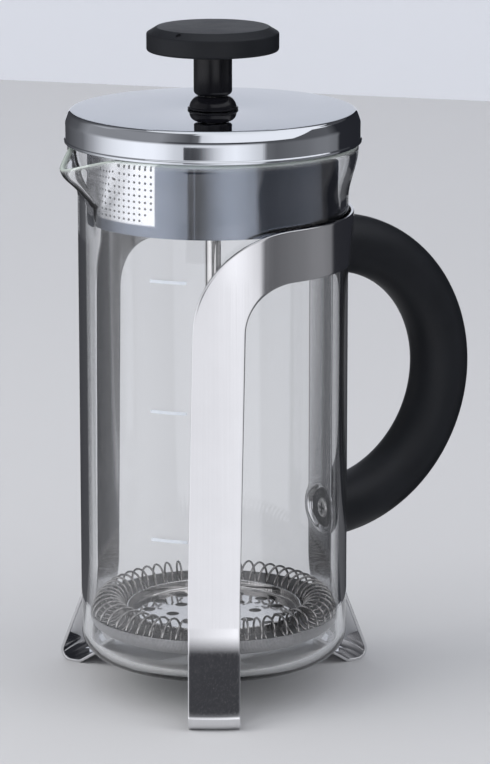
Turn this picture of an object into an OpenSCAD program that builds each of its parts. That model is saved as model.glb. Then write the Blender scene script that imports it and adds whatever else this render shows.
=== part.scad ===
// Press coffee maker for three cups: a glass beaker in a bent sheet-steel frame with a C-shaped
// handle, a flat-topped steel lid with a strainer sleeve, and a plunger with a stacked filter.
// Millimetres, +Z up, with the table at z = 0. The origin lies on the beaker's axis,
// the handle points along +X and the spout along -X.

/* [Beaker] */
// Outer diameter of the straight glass wall
beaker_d = 70; // [66:0.5:74]
// Thickness of the glass wall
glass_wall = 2; // [1.6:0.1:2.4]
// Thickness of the glass bottom
glass_floor = 2.3; // [2:0.1:3]
// Height of the underside of the glass above the table
beaker_base_z = 8.7; // [8:0.1:10]
// Height of the rim above the table
rim_z = 144.8; // [140:0.1:150]
// Outer radius of the rounded bottom edge
base_corner_r = 5.9; // [4:0.1:8]
// How far the rim flares out past the wall
rim_flare = 2.5; // [1:0.1:3]
// Height at which the flare starts
flare_z = 131.5; // [128:0.5:134]
// Height at which the flare is complete
flare_top_z = 140.5; // [138:0.5:142]
// Distance from the axis to the tip of the spout
spout_reach = 44.2; // [42:0.1:46]
// Height of the lower end of the spout's fold
spout_foot_z = 128.5; // [126:0.5:132]
// Half of the angle between the two sides of the spout
spout_half = 20; // [15:1:25]
// Forward lean of the spout's axis, from the vertical
spout_lean = 16; // [10:1:20]
// Width of the fill marks, as an angle round the glass
mark_sweep = 16; // [8:1:30]
// Height of each line of the fill marks
mark_h = 0.8; // [0.4:0.1:1.5]

/* [Frame] */
// Thickness of the sheet steel
sheet_t = 0.8; // [0.6:0.1:1]
// Gap between the glass and the sheet
frame_gap = 0.6; // [0.4:0.1:1]
// Width of the legs, which is also the height of the band
leg_w = 13.3; // [12:0.1:15]
// Height of the upper edge of the band
band_top_z = 127.1; // [124:0.1:130]
// Inner radius of the curve from a front leg into the band
corner_in_r = 12.3; // [10:0.1:15]
// Sideways lean of a front leg at the top, towards the handle
leg_lean = 1.4; // [0:0.1:2]
// Angle between two neighbouring legs
leg_pitch = 120; // [110:1:125]
// Outward slope of the foot, from the vertical
foot_slope = 22.5; // [18:0.5:28]
// Radius of the knee where the leg starts to slope out
knee_r = 15; // [8:1:20]
// Distance from the axis to the outermost point of a toe
toe_reach = 44.5; // [42:0.1:48]
// Middle radius of the toe's bends
toe_r = 2.6; // [2:0.1:3.5]
// Length of the flat land that stands on the table
toe_land = 2; // [1.5:0.1:3]
// Upward slope of the strip that returns under the glass
return_slope = 33; // [25:1:40]
// Middle radius of the bend into the tab under the glass
tab_r = 3; // [2:0.5:5]
// Distance from the axis to the inner end of the tab
tab_inner = 20; // [16:1:24]

/* [Handle] */
// Diameter of the grip
grip_d = 15.6; // [14:0.1:18]
// Radius of the grip's centre line
grip_r = 36.2; // [32:0.1:40]
// Distance from the beaker's axis to the centre of the grip's curve
grip_x = 34.3; // [33:0.1:36]
// Height of the centre of the grip's curve
grip_z = 78.5; // [70:0.5:85]
// Diameter of the round boss in the sheet at each handle screw
boss_d = 16.4; // [15:0.1:18]
// Depth of the dish that takes the screw head
dish_depth = 1.6; // [1.2:0.1:2]
// Radius of the flat floor of the dish
dish_floor_r = 4.2; // [3.5:0.1:5]
// Nominal diameter of the handle screws
screw_d = 3; // [2.5:0.5:4]
// Diameter of the screw heads
screw_head_d = 5.6; // [5:0.1:7]
// Height of the screw heads
screw_head_h = 1.4; // [1:0.1:2]
// Length of the screws under the head
screw_len = 11; // [8:1:16]
// Outer diameter of the threaded inserts
insert_d = 5; // [4.5:0.1:6]
// Length of the threaded inserts
insert_len = 10; // [6:1:12]

/* [Lid] */
// Height of the flat top of the lid
lid_top_z = 153.2; // [150:0.1:156]
// Radius of the flat top
lid_flat_r = 36.9; // [34:0.1:38]
// Outer radius of the skirt
skirt_r = 38; // [37:0.1:39]
// Height of the line between bevel and skirt
bevel_z = 150.3; // [149:0.1:152]
// Height of the lower edge of the skirt
skirt_z = 145; // [144:0.1:147]
// How far the rolled lower edge stands out from the skirt
lip_out = 0.3; // [0.1:0.1:0.6]
// Height of the rolled lower edge
lip_h = 0.8; // [0.5:0.1:1.5]
// Thickness of the lid's sheet
lid_t = 0.8; // [0.6:0.1:1]
// Outer radius of the strainer sleeve
sleeve_r = 32.4; // [31:0.1:32.6]
// Thickness of the sleeve
sleeve_t = 0.5; // [0.4:0.1:0.8]
// Height of the lower edge of the sleeve
sleeve_z = 125.2; // [120:0.1:130]
// Diameter of the strainer's holes
strainer_hole_d = 1.6; // [0.6:0.1:2]
// Rows of holes in the strainer
strainer_rows = 4; // [3:1:10]
// Holes in each row of the strainer
strainer_columns = 11; // [5:1:23]
// Angle that the strainer covers
strainer_angle = 66; // [40:1:80]

/* [Knob and bush] */
// Radius of the thin rim at the foot of the lid's bush
bush_r = 6.5; // [6.2:0.1:7]
// Height of the thin rim
bush_rim_h = 0.4; // [0.2:0.1:0.8]
// Height of the bush above the lid
bush_h = 3.3; // [3:0.1:4]
// Radius of the bulging side of the bush, in section
bush_round_r = 3.4; // [3:0.1:4]
// Distance from the axis to the centre of the bulge
bush_round_x = 2.7; // [2:0.1:3]
// Radius of the threaded spigot under the bush
spigot_r = 3.5; // [3:0.1:4]
// Outer radius of the nut under the lid
bush_nut_r = 7; // [6:0.5:9]
// Height of the nut under the lid
bush_nut_h = 3.2; // [2:0.1:5]
// Diameter of the plunger rod
rod_d = 4; // [3:0.5:5]
// Height of the lower end of the rod
rod_bottom_z = 12.6; // [12:0.1:14]
// Height of the lower end of the knob's stem
stem_z = 156.8; // [156.7:0.1:158]
// Radius of the knob's stem
stem_r = 4.95; // [4:0.05:6]
// Height of the underside of the knob's disc
knob_z = 168.2; // [165:0.1:170]
// Radius of the knob's disc
knob_r = 17; // [15:0.1:19]
// Height of the disc's straight side
knob_side_h = 4.6; // [3:0.1:6]
// Height of the disc's bevel
knob_bevel_h = 1.6; // [1:0.1:3]
// Width of the disc's bevel
knob_bevel_w = 2.6; // [1:0.1:4]
// Direction of the dimple in the disc's bevel, from +X
dimple_azimuth = -154; // [-180:1:180]
// Radius of the dimple
dimple_r = 0.7; // [0.4:0.1:1]

/* [Filter] */
// Distance from the axis to the centre line of the coil's turns
coil_ring_r = 28; // [26:0.1:29]
// Height of the middle of the coil
coil_z = 20.6; // [20:0.1:22]
// Radius of one turn of the coil
coil_turn_r = 4.1; // [3:0.1:4.2]
// Diameter of the coil's wire
coil_wire_d = 0.6; // [0.4:0.1:0.8]
// Number of turns in the coil
coil_turns = 55; // [40:1:60]
// Thickness of the woven mesh
mesh_t = 0.2; // [0.15:0.05:0.3]
// Thickness of the perforated plate and the cross plate
plate_t = 0.6; // [0.5:0.1:1]
// Radius of the perforated plate
plate_r = 23.2; // [20:0.1:23.4]
// Height of the underside of the perforated plate
plate_z = 18; // [17:0.1:19]
// Height of the plate's upturned edge
plate_rim_h = 3; // [2:0.1:4]
// Diameter of the holes in the plate
plate_hole_d = 3.4; // [2:0.1:4]
// Length of each arm of the cross plate, from the axis
cross_arm = 25; // [20:0.5:27]
// Width of the arms of the cross plate
cross_w = 9; // [6:0.5:12]

/* [Hidden] */
$fn = 96;
eps = 0.01;
beaker_r = beaker_d / 2;
fit = 0.06;           // radial clearance of a running fit
snug = 0.02;          // radial clearance of a moulded-in or threaded piece
rest_gap = 0.1;       // gap under a piece that rests on another body
past = 1;             // how far a cutter runs past what it cuts

// Frame: the sheet's middle surface in the plane of a leg, from the knee down to the tab.
frame_r = beaker_r + frame_gap + sheet_t / 2;
frame_in_r = frame_r - sheet_t / 2;
frame_out_r = frame_r + sheet_t / 2;
toe_z = toe_r + sheet_t / 2;
toe_outer = [toe_reach - toe_z, toe_z];
toe_inner = toe_outer - [toe_land, 0];
toe_start = toe_outer + toe_r * [cos(foot_slope), sin(foot_slope)];
knee_end_r = frame_r + knee_r * (1 - cos(foot_slope));
knee_end_z = toe_start[1] + (toe_start[0] - knee_end_r) / tan(foot_slope);
knee = [frame_r + knee_r, knee_end_z + knee_r * sin(foot_slope)];
toe_end = toe_inner + toe_r * [-sin(return_slope), -cos(return_slope)];
tab_mid_z = beaker_base_z - rest_gap - sheet_t / 2;
tab_start_z = tab_mid_z - tab_r * (1 - cos(return_slope));
tab_start = [toe_end[0] - (tab_start_z - toe_end[1]) / tan(return_slope), tab_start_z];
tab_bend = tab_start - tab_r * [sin(return_slope), cos(return_slope)];
band_z = band_top_z - leg_w;
corner_out_r = corner_in_r + leg_w;
corner_z = band_top_z - corner_out_r;
corner_x = leg_lean + leg_w / 2 + corner_in_r;
lean_z = knee[1] + 4; // height at which a front leg starts to lean
band_lap = 3;         // overlap of a front leg's outline and the band
arc_end = 94;         // where a curve into the band ends, just short of level, so that it crosses the edge
band_end_x = corner_x + corner_out_r * cos(arc_end);
tee_r = 8;            // radius of the curves from the handle leg into the band
reach = 60;           // half size of the cutting blocks, beyond the whole frame
leg_lead = 5;         // how far inside the tabs the leg cutters start

// Handle
screw_zs = [grip_z - grip_r, grip_z + grip_r];
dish_rise = 2.4;      // how much wider the dish is at its mouth than at its floor
dish_start_x = 34.4;  // inside the glass side of the sheet all the way round the dish
dish_x = frame_in_r + dish_depth;
dish_back_x = dish_x + sheet_t;
screw_play = 0.3;     // clearance of a screw in the sheet, and of an insert behind it
screw_hole_d = screw_d + screw_play;
insert_x = dish_back_x + screw_play;

// Glass
mark_zs = [47, 80.6, 114.2];
mark_azimuth = -147;
mark_t = 0.05;
spout_over = 2;       // how far the inside of the spout runs on above its rim

// Lid
cover_hole_r = spigot_r + fit;
bush_z = lid_top_z + rest_gap;
nut_z = lid_top_z - lid_t - rest_gap - bush_nut_h;
sleeve_flange_z = skirt_z;
sleeve_flange_r = skirt_r - lid_t - rest_gap;
strainer_pitch_z = 3.3;
strainer_z = sleeve_z + 5;
drill_h = 6;          // length of the cutters for the strainer's holes

// Knob
rod_top_z = 167;
insert_z = 159.2;
knob_insert_r = 3;
knob_insert_h = 8;
stem_play = 0.2;      // radial clearance of the rod in the stem, below the insert

// Filter stack
mesh_gap = 0.2;       // gap between the coil and the mesh that wraps it
mesh_in_r = coil_turn_r + coil_wire_d / 2 + mesh_gap;
mesh_out_r = mesh_in_r + mesh_t;
mesh_z = coil_z - mesh_out_r;
hub_r = 4.4;
hub_flange_r = 6.5;
hub_flange_h = 1;
hub_z = coil_z - mesh_in_r + rest_gap;
cross_z = mesh_z - rest_gap - plate_t;
nut_h = 1.9;
filter_nut_z = cross_z - rest_gap - nut_h;
nut_corner_r = 4;
cross_middle_r = 10.8;
plate_rings = [[11, 8], [17.5, 14]]; // radius of each ring of holes, and how many it has
bore_h = 40;          // beyond the top of the filter

// Points of an arc about c, from one angle to another, in equal straight steps.
function arc(c, r, from, to, steps) =
    [for (k = [0:steps]) let (turn = from + (to - from) * k / steps) c + r * [cos(turn), sin(turn)]];

// One face of the bent sheet in section, from above the band to the tab under the glass.
// side is 1 for the face away from the glass and -1 for the face next to it.
function sheet_face(side) = let (h = side * sheet_t / 2) concat(
    [[frame_r + h, band_top_z + past]],
    arc(knee, knee_r - h, 180, 180 + foot_slope, 4),
    arc(toe_outer, toe_r + h, foot_slope, -90, 10),
    arc(toe_inner, toe_r + h, -90, -90 - return_slope, 3),
    arc(tab_bend, tab_r - h, 90 - return_slope, 90, 3),
    [[tab_inner, tab_mid_z - h]]);

module sheet_section() {
    inner = sheet_face(-1);
    polygon(concat(sheet_face(1), [for (k = [len(inner) - 1:-1:0]) inner[k]]));
}

// Outline of a front leg with its curve into the band, seen from outside.
// x runs round the beaker towards the handle and y is the height.
module front_leg_outline() {
    w = leg_w / 2;
    polygon(concat(
        [[-w, -past], [w, -past], [w, lean_z]],
        arc([corner_x, corner_z], corner_in_r, 180, arc_end, 10),
        [[corner_x + band_lap, band_z + past], [corner_x + band_lap, band_top_z - past]],
        arc([corner_x, corner_z], corner_out_r, arc_end, 180, 16),
        [[-w, lean_z]]));
}

// Outline of the leg under the handle, with its curves into the band and its two bosses.
module handle_leg_outline() {
    w = leg_w / 2;
    right = concat([[w, -past]], arc([w + tee_r, band_z - tee_r], tee_r, 180, arc_end, 6),
                   [[w + tee_r, band_z + past]]);
    polygon(concat(right, [for (k = [len(right) - 1:-1:0]) [-right[k][0], right[k][1]]]));
    for (z = screw_zs)
        translate([0, z]) circle(d = boss_d);
}

// Turns an outline into a block that cuts through the sheet of one leg.
module leg_cutter() {
    translate([tab_inner - leg_lead, 0, 0])
        rotate([90, 0, 90]) linear_extrude(reach) children();
}

// The two front legs, on either side of the spout.
module at_front_legs() {
    for (side = [0, 1])
        mirror([0, side, 0]) rotate([0, 0, -leg_pitch]) children();
}

module band_cutter() {
    difference() {
        translate([-reach, -reach, band_z]) cube([2 * reach, 2 * reach, leg_w]);
        at_front_legs()
            translate([0, band_end_x - 2 * reach, band_z - past])
                cube([2 * reach, 2 * reach, leg_w + 2 * past]);
    }
}

// A cone along +X at one of the handle's screws.
module dish(z, from, to, floor_r) {
    slope = dish_rise / (dish_x - dish_start_x);
    translate([from, 0, z]) rotate([0, 90, 0])
        cylinder(h = to - from, r1 = floor_r + slope * (to - from), r2 = floor_r);
}

module at_screws() {
    for (z = screw_zs)
        translate([0, 0, z]) rotate([0, 90, 0]) children();
}

module frame_sheet() {
    color("silver") difference() {
        union() {
            intersection() {
                rotate_extrude() sheet_section();
                union() {
                    at_front_legs() leg_cutter() front_leg_outline();
                    leg_cutter() handle_leg_outline();
                    band_cutter();
                }
            }
            difference() {
                for (z = screw_zs)
                    dish(z, dish_start_x + sheet_t, dish_back_x, dish_floor_r + sheet_t);
                cylinder(h = rim_z, r = frame_in_r);
            }
        }
        for (z = screw_zs)
            dish(z, dish_start_x, dish_x, dish_floor_r);
        at_screws() translate([0, 0, dish_x - past])
            cylinder(h = sheet_t + 2 * past, d = screw_hole_d);
    }
}

module handle_grip() {
    color("#1c1c1e") difference() {
        translate([grip_x, 0, grip_z]) rotate([90, 0, 0]) rotate([0, 0, -90])
            rotate_extrude(angle = 180) translate([grip_r, 0]) circle(d = grip_d);
        cylinder(h = rim_z, r = frame_out_r);
        for (z = screw_zs)
            dish(z, dish_start_x + sheet_t, dish_back_x, dish_floor_r + sheet_t);
        at_screws() translate([0, 0, dish_x])
            cylinder(h = insert_x + insert_len + past - dish_x, d = insert_d + 2 * snug);
    }
}

module handle_screws() {
    slot_w = 0.8;
    slot_len = 3;
    color("gainsboro") at_screws() translate([0, 0, dish_x - screw_head_h]) difference() {
        union() {
            cylinder(h = screw_head_h, d = screw_head_d);
            cylinder(h = screw_head_h + screw_len, d = screw_d);
        }
        for (turn = [0, 90])
            rotate([0, 0, turn]) translate([-slot_len / 2, -slot_w / 2, -past])
                cube([slot_len, slot_w, past + screw_head_h / 2]);
    }
}

module handle_inserts() {
    color("goldenrod") at_screws() translate([0, 0, insert_x]) difference() {
        cylinder(h = insert_len, d = insert_d);
        translate([0, 0, -past]) cylinder(h = insert_len + 2 * past, d = screw_d + 2 * snug);
    }
}

// Half section of the beaker's surface, moved inwards by the given distance.
module vessel_section(inset, bottom_z, top_z) {
    r = beaker_r - inset;
    c = base_corner_r - inset;
    polygon([[0, bottom_z], [r - c, bottom_z], [r - c, bottom_z + c], [r, bottom_z + c],
             [r, flare_z], [r + rim_flare, flare_top_z], [r + rim_flare, top_z], [0, top_z]]);
    translate([r - c, bottom_z + c]) intersection() {
        circle(c);
        translate([-eps, -c - past]) square([c + past, c + past + eps]);
    }
}

// Cone of the spout: its apex is at the fold's foot and its axis leans out over the rim.
module spout_cone(shift, over) {
    side_len = (spout_reach - beaker_r) / sin(spout_half + spout_lean);
    h = side_len * cos(spout_half) - shift + over;
    translate([-beaker_r, 0, spout_foot_z]) rotate([0, -spout_lean, 0])
        translate([0, 0, shift]) cylinder(h = h, r1 = 0, r2 = h * tan(spout_half));
}

module beaker() {
    color("azure", 0.35) difference() {
        union() {
            rotate_extrude() vessel_section(0, beaker_base_z, rim_z);
            spout_cone(0, 0);
        }
        rotate_extrude() vessel_section(glass_wall, beaker_base_z + glass_floor, rim_z + past);
        spout_cone(glass_wall / sin(spout_half), spout_over);
    }
}

module fill_marks() {
    color("lightgray") for (z = mark_zs)
        translate([0, 0, z]) rotate([0, 0, mark_azimuth]) rotate_extrude(angle = mark_sweep)
            translate([beaker_r + eps, 0]) square([mark_t, mark_h]);
}

module lid_bush() {
    color("#101012") difference() {
        union() {
            translate([0, 0, bush_z]) rotate_extrude() intersection() {
                translate([bush_round_x, rest_gap]) circle(bush_round_r);
                square([bush_r, bush_h]);
            }
            translate([0, 0, bush_z]) cylinder(h = bush_rim_h, r = bush_r);
            translate([0, 0, nut_z]) cylinder(h = bush_z - nut_z + eps, r = spigot_r);
        }
        translate([0, 0, nut_z - past])
            cylinder(h = bush_z + bush_h - nut_z + 2 * past, r = rod_d / 2 + fit);
    }
}

module lid_bush_nut() {
    color("#18181a") translate([0, 0, nut_z]) difference() {
        cylinder(h = bush_nut_h, r = bush_nut_r);
        translate([0, 0, -past]) cylinder(h = bush_nut_h + 2 * past, r = spigot_r + snug);
    }
}

module lid_cover() {
    color("gainsboro") rotate_extrude() polygon([
        [cover_hole_r, lid_top_z], [lid_flat_r, lid_top_z], [skirt_r, bevel_z],
        [skirt_r, skirt_z + lip_h], [skirt_r + lip_out, skirt_z + lip_h],
        [skirt_r + lip_out, skirt_z], [skirt_r - lid_t, skirt_z], [skirt_r - lid_t, bevel_z],
        [lid_flat_r - lid_t, lid_top_z - lid_t], [cover_hole_r, lid_top_z - lid_t]]);
}

module strainer_sleeve() {
    column_pitch = strainer_angle / (strainer_columns - 1);
    color("dimgray") difference() {
        rotate_extrude() union() {
            translate([sleeve_r - sleeve_t, sleeve_z])
                square([sleeve_t, sleeve_flange_z + sleeve_t - sleeve_z]);
            translate([sleeve_r - sleeve_t, sleeve_flange_z])
                square([sleeve_flange_r - sleeve_r + sleeve_t, sleeve_t]);
        }
        for (row = [0:strainer_rows - 1], column = [0:strainer_columns - 1])
            rotate([0, 0, 180 - strainer_angle / 2 + column * column_pitch])
                translate([sleeve_r - drill_h / 2, 0, strainer_z + row * strainer_pitch_z])
                    rotate([0, 90, 0]) cylinder(h = drill_h, d = strainer_hole_d);
    }
}

module plunger_rod() {
    color("silver") translate([0, 0, rod_bottom_z]) cylinder(h = rod_top_z - rod_bottom_z, d = rod_d);
}

module knob_disc() {
    color("#1c1c1e") difference() {
        translate([0, 0, knob_z]) union() {
            cylinder(h = knob_side_h, r = knob_r);
            translate([0, 0, knob_side_h])
                cylinder(h = knob_bevel_h, r1 = knob_r, r2 = knob_r - knob_bevel_w);
        }
        rotate([0, 0, dimple_azimuth])
            translate([knob_r - knob_bevel_w / 2, 0, knob_z + knob_side_h + knob_bevel_h])
                sphere(dimple_r);
    }
}

module knob_stem() {
    color("#0c0c0e") difference() {
        translate([0, 0, stem_z]) cylinder(h = knob_z - stem_z, r = stem_r);
        translate([0, 0, stem_z - past])
            cylinder(h = knob_z - stem_z + 2 * past, r = rod_d / 2 + stem_play);
        translate([0, 0, insert_z - snug])
            cylinder(h = knob_z - insert_z + past, r = knob_insert_r + snug);
    }
}

module knob_insert() {
    color("goldenrod") translate([0, 0, insert_z]) difference() {
        cylinder(h = knob_insert_h, r = knob_insert_r);
        translate([0, 0, -past]) cylinder(h = knob_insert_h + 2 * past, d = rod_d + 2 * snug);
    }
}

// Bore that runs on the rod, through a piece of the filter.
module rod_bore() {
    cylinder(h = bore_h, r = rod_d / 2 + fit);
}

module filter_hub() {
    flange_z = plate_z + plate_t + rest_gap;
    color("silver") difference() {
        union() {
            translate([0, 0, hub_z]) cylinder(h = flange_z + hub_flange_h - hub_z, r = hub_r);
            translate([0, 0, flange_z]) cylinder(h = hub_flange_h, r = hub_flange_r);
        }
        rod_bore();
    }
}

module perforated_plate() {
    rim_in_r = plate_r - plate_t;
    color("lightgray") translate([0, 0, plate_z]) difference() {
        union() {
            cylinder(h = plate_t, r = plate_r);
            difference() {
                cylinder(h = plate_rim_h, r = plate_r);
                translate([0, 0, -past]) cylinder(h = plate_rim_h + 2 * past, r = rim_in_r);
            }
        }
        translate([0, 0, -past]) cylinder(h = plate_t + 2 * past, r = hub_r + snug);
        for (ring = plate_rings, k = [0:ring[1] - 1])
            rotate([0, 0, k * 360 / ring[1]]) translate([ring[0], 0, -past])
                cylinder(h = plate_t + 2 * past, d = plate_hole_d);
    }
}

module coil_spring() {
    color("silver") for (turn = [0:coil_turns - 1])
        rotate([0, 0, turn * 360 / coil_turns]) translate([coil_ring_r, 0, coil_z])
            rotate([90, 0, 0]) rotate_extrude() translate([coil_turn_r, 0]) circle(d = coil_wire_d);
}

module mesh_screen() {
    color("darkgray") rotate_extrude() union() {
        translate([rod_d / 2 + fit, mesh_z]) square([coil_ring_r - rod_d / 2 - fit, mesh_t]);
        translate([coil_ring_r, coil_z]) intersection() {
            difference() {
                circle(mesh_out_r);
                circle(mesh_in_r);
            }
            translate([0, -mesh_out_r]) square(mesh_out_r);
        }
    }
}

module cross_plate() {
    color("silver") translate([0, 0, cross_z]) difference() {
        union() {
            for (turn = [0, 90])
                rotate([0, 0, turn]) translate([-cross_arm, -cross_w / 2, 0])
                    cube([2 * cross_arm, cross_w, plate_t]);
            cylinder(h = plate_t, r = cross_middle_r);
        }
        translate([0, 0, -past]) cylinder(h = plate_t + 2 * past, r = rod_d / 2 + fit);
    }
}

module filter_nut() {
    color("silver") difference() {
        translate([0, 0, filter_nut_z]) cylinder(h = nut_h, r = nut_corner_r, $fn = 6);
        rod_bore();
    }
}

frame_sheet();
handle_grip();
handle_screws();
handle_inserts();
beaker();
fill_marks();
lid_bush();
lid_bush_nut();
lid_cover();
strainer_sleeve();
plunger_rod();
knob_disc();
knob_stem();
knob_insert();
filter_hub();
perforated_plate();
coil_spring();
mesh_screen();
cross_plate();
filter_nut();
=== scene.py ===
"""Studio picture of a small press coffee maker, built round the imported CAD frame. Lengths in metres."""
from math import asin, atan2, ceil, cos, degrees, dist, hypot, pi, radians, sin, sqrt, tan

import bmesh
import bpy
from mathutils import Matrix, Vector


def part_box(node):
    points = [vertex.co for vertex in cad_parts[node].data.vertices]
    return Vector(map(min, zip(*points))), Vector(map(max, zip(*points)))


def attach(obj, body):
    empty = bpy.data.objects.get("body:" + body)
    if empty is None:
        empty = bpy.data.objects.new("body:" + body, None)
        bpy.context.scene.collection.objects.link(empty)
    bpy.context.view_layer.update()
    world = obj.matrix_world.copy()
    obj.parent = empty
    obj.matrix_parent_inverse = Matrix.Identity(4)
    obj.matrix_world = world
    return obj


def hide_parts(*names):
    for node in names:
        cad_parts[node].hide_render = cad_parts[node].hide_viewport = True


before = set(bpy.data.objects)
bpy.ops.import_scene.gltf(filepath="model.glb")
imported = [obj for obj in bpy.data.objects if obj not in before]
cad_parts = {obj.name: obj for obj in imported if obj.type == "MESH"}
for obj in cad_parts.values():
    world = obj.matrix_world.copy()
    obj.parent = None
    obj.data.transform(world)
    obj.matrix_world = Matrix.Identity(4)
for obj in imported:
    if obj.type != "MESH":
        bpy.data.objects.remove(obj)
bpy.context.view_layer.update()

MM = 0.001
SHARP_ANGLE = 32
WELD_DISTANCE = 1e-7
ON_AXIS = 1e-6


# -------- shapes

def placed(name, data):
    """A new object with this data, put into the scene."""
    obj = bpy.data.objects.new(name, data)
    bpy.context.scene.collection.objects.link(obj)
    return obj


def new_object(name, verts, faces, sharp=SHARP_ANGLE):
    """A mesh object with smooth faces, except across edges sharper than the given angle."""
    mesh = bpy.data.meshes.new(name)
    mesh.from_pydata(verts, [], faces)
    mesh.validate()
    obj = placed(name, mesh)
    tidy_mesh(obj, sharp)
    return obj


def tidy_mesh(obj, sharp=SHARP_ANGLE):
    """Welds doubles, points the faces outwards and marks the sharp edges."""
    mesh = obj.data
    bm = bmesh.new()
    bm.from_mesh(mesh)
    bmesh.ops.remove_doubles(bm, verts=bm.verts, dist=WELD_DISTANCE)
    bmesh.ops.recalc_face_normals(bm, faces=bm.faces)
    for face in bm.faces:
        face.smooth = True
    for edge in bm.edges:
        if edge.is_manifold and edge.calc_face_angle(0) > radians(sharp):
            edge.smooth = False
    bm.to_mesh(mesh)
    bm.free()


def rounded(points, steps=4):
    """Replaces each corner (r, z, radius) of a closed outline by an arc of that radius."""
    out = []
    count = len(points)
    nearly_half = 0.499
    for i, (r, z, radius) in enumerate(points):
        here = Vector((r, z))
        before = Vector(points[i - 1][:2])
        after = Vector(points[(i + 1) % count][:2])
        if radius <= 0:
            out.append((r, z))
            continue
        to_before = (before - here).normalized()
        to_after = (after - here).normalized()
        half = to_before.angle(to_after) / 2
        shorter = min((before - here).length, (after - here).length)
        reach = min(radius / tan(half), shorter * nearly_half)
        radius = reach * tan(half)
        centre = here + (to_before + to_after).normalized() * radius / sin(half)
        start = here + to_before * reach - centre
        end = here + to_after * reach - centre
        turn = start.angle_signed(end)
        for k in range(steps + 1):
            spoke = start.copy()
            spoke.rotate(Matrix.Rotation(-turn * k / steps, 2))
            out.append(tuple(centre + spoke))
    return out


def at(r, turn, z):
    """Point in metres at a radius and a height in millimetres, turned about the Z axis."""
    return (r * MM * cos(turn), r * MM * sin(turn), z * MM)


def revolve(name, outline, segments=128, sharp=SHARP_ANGLE):
    """Turns a closed outline of (r, z) points in millimetres about the Z axis."""
    verts, faces, rings = [], [], []
    for r, z in outline:
        if r < ON_AXIS:
            rings.append([len(verts)] * segments)
            verts.append((0, 0, z * MM))
            continue
        rings.append([len(verts) + k for k in range(segments)])
        verts += [at(r, 2 * pi * k / segments, z) for k in range(segments)]
    count = len(rings)
    for i in range(count):
        low, high = rings[i], rings[(i + 1) % count]
        for k in range(segments):
            corners = [low[k], low[(k + 1) % segments], high[(k + 1) % segments], high[k]]
            corners = list(dict.fromkeys(corners))
            if len(corners) > 2:
                faces.append(corners)
    return new_object(name, verts, faces, sharp)


def piece(obj, body, slot, material, *nodes):
    """Gives a piece its finish and its body, and hides the CAD nodes that it stands for."""
    obj.data.materials.clear()
    obj.data.materials.append(material)
    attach(obj, body)
    if nodes:
        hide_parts(*nodes)
    return obj


def arc(centre, radius, start, end, steps):
    """Points of an arc from one angle to another, in degrees."""
    points = []
    for k in range(steps + 1):
        turn = radians(start + (end - start) * k / steps)
        points.append((centre[0] + radius * cos(turn), centre[1] + radius * sin(turn)))
    return points


def smooth_step(t):
    """Rises from 0 to 1 with level ends."""
    t = min(max(t, 0.0), 1.0)
    return t * t * (3 - 2 * t)


def divided(path, longest):
    """Adds points to a path so that no step is longer than the given length."""
    out = [path[0]]
    for a, b in zip(path, path[1:]):
        steps = max(1, ceil(dist(a, b) / longest))
        out += [tuple(p + (q - p) * k / steps for p, q in zip(a, b)) for k in range(1, steps + 1)]
    return out


def add_rows(verts, faces, rows, closed=False):
    """Adds a grid of points, given as rows of equal length, and the faces between them."""
    start = len(verts)
    width = len(rows[0])
    for row in rows:
        verts.extend(row)
    for i in range(len(rows) - 1):
        for j in range(width if closed else width - 1):
            a = start + i * width + j
            b = start + i * width + (j + 1) % width
            faces.append((a, b, b + width, a + width))


def apply_modifiers(obj):
    """Turns an object's modifiers into plain geometry."""
    graph = bpy.context.evaluated_depsgraph_get()
    mesh = bpy.data.meshes.new_from_object(obj.evaluated_get(graph))
    obj.modifiers.clear()
    obj.data = mesh


def thicken(obj, sheet):
    """Gives a surface the thickness of its sheet, half of it on each side."""
    thick = obj.modifiers.new("thickness", "SOLIDIFY")
    thick.thickness = sheet * MM
    thick.offset = 0
    apply_modifiers(obj)


def carve(obj, cutter, sharp=SHARP_ANGLE):
    """Cuts one object out of another and deletes it."""
    cut = obj.modifiers.new("cut", "BOOLEAN")
    cut.operation = "DIFFERENCE"
    cut.solver = "EXACT"
    cut.object = cutter
    apply_modifiers(obj)
    bpy.data.objects.remove(cutter)
    tidy_mesh(obj, sharp)


def soften(obj, width, segments=2, angle=40, sharp=SHARP_ANGLE):
    """Rounds the edges of an object that are sharper than an angle."""
    edge = obj.modifiers.new("edge", "BEVEL")
    edge.width = width * MM
    edge.segments = segments
    edge.limit_method = "ANGLE"
    edge.angle_limit = radians(angle)
    apply_modifiers(obj)
    tidy_mesh(obj, sharp)


def joined(name, *objs):
    """Makes one object of several."""
    bm = bmesh.new()
    for obj in objs:
        bm.from_mesh(obj.data)
    mesh = bpy.data.meshes.new(name)
    bm.to_mesh(mesh)
    bm.free()
    for obj in objs:
        bpy.data.objects.remove(obj)
    return placed(name, mesh)


def block(size, centre, turn=0):
    """A plain block in millimetres, turned about Z by degrees; it is used only to cut with."""
    halves = (-0.5, 0.5)
    spin = Matrix.Rotation(radians(turn), 4, "Z")
    corners = [Vector((x, y, z)) * Vector(size) for x in halves for y in halves for z in halves]
    verts = [(spin @ corner + Vector(centre)) * MM for corner in corners]
    faces = [(0, 1, 3, 2), (4, 6, 7, 5), (0, 4, 5, 1), (2, 3, 7, 6), (0, 2, 6, 4), (1, 5, 7, 3)]
    return new_object("cutter", verts, faces)


# -------- sizes, in millimetres

def box_mm(node):
    """Lowest and highest corner of a CAD node, in millimetres."""
    return tuple(Vector(corner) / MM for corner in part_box(node))


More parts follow.
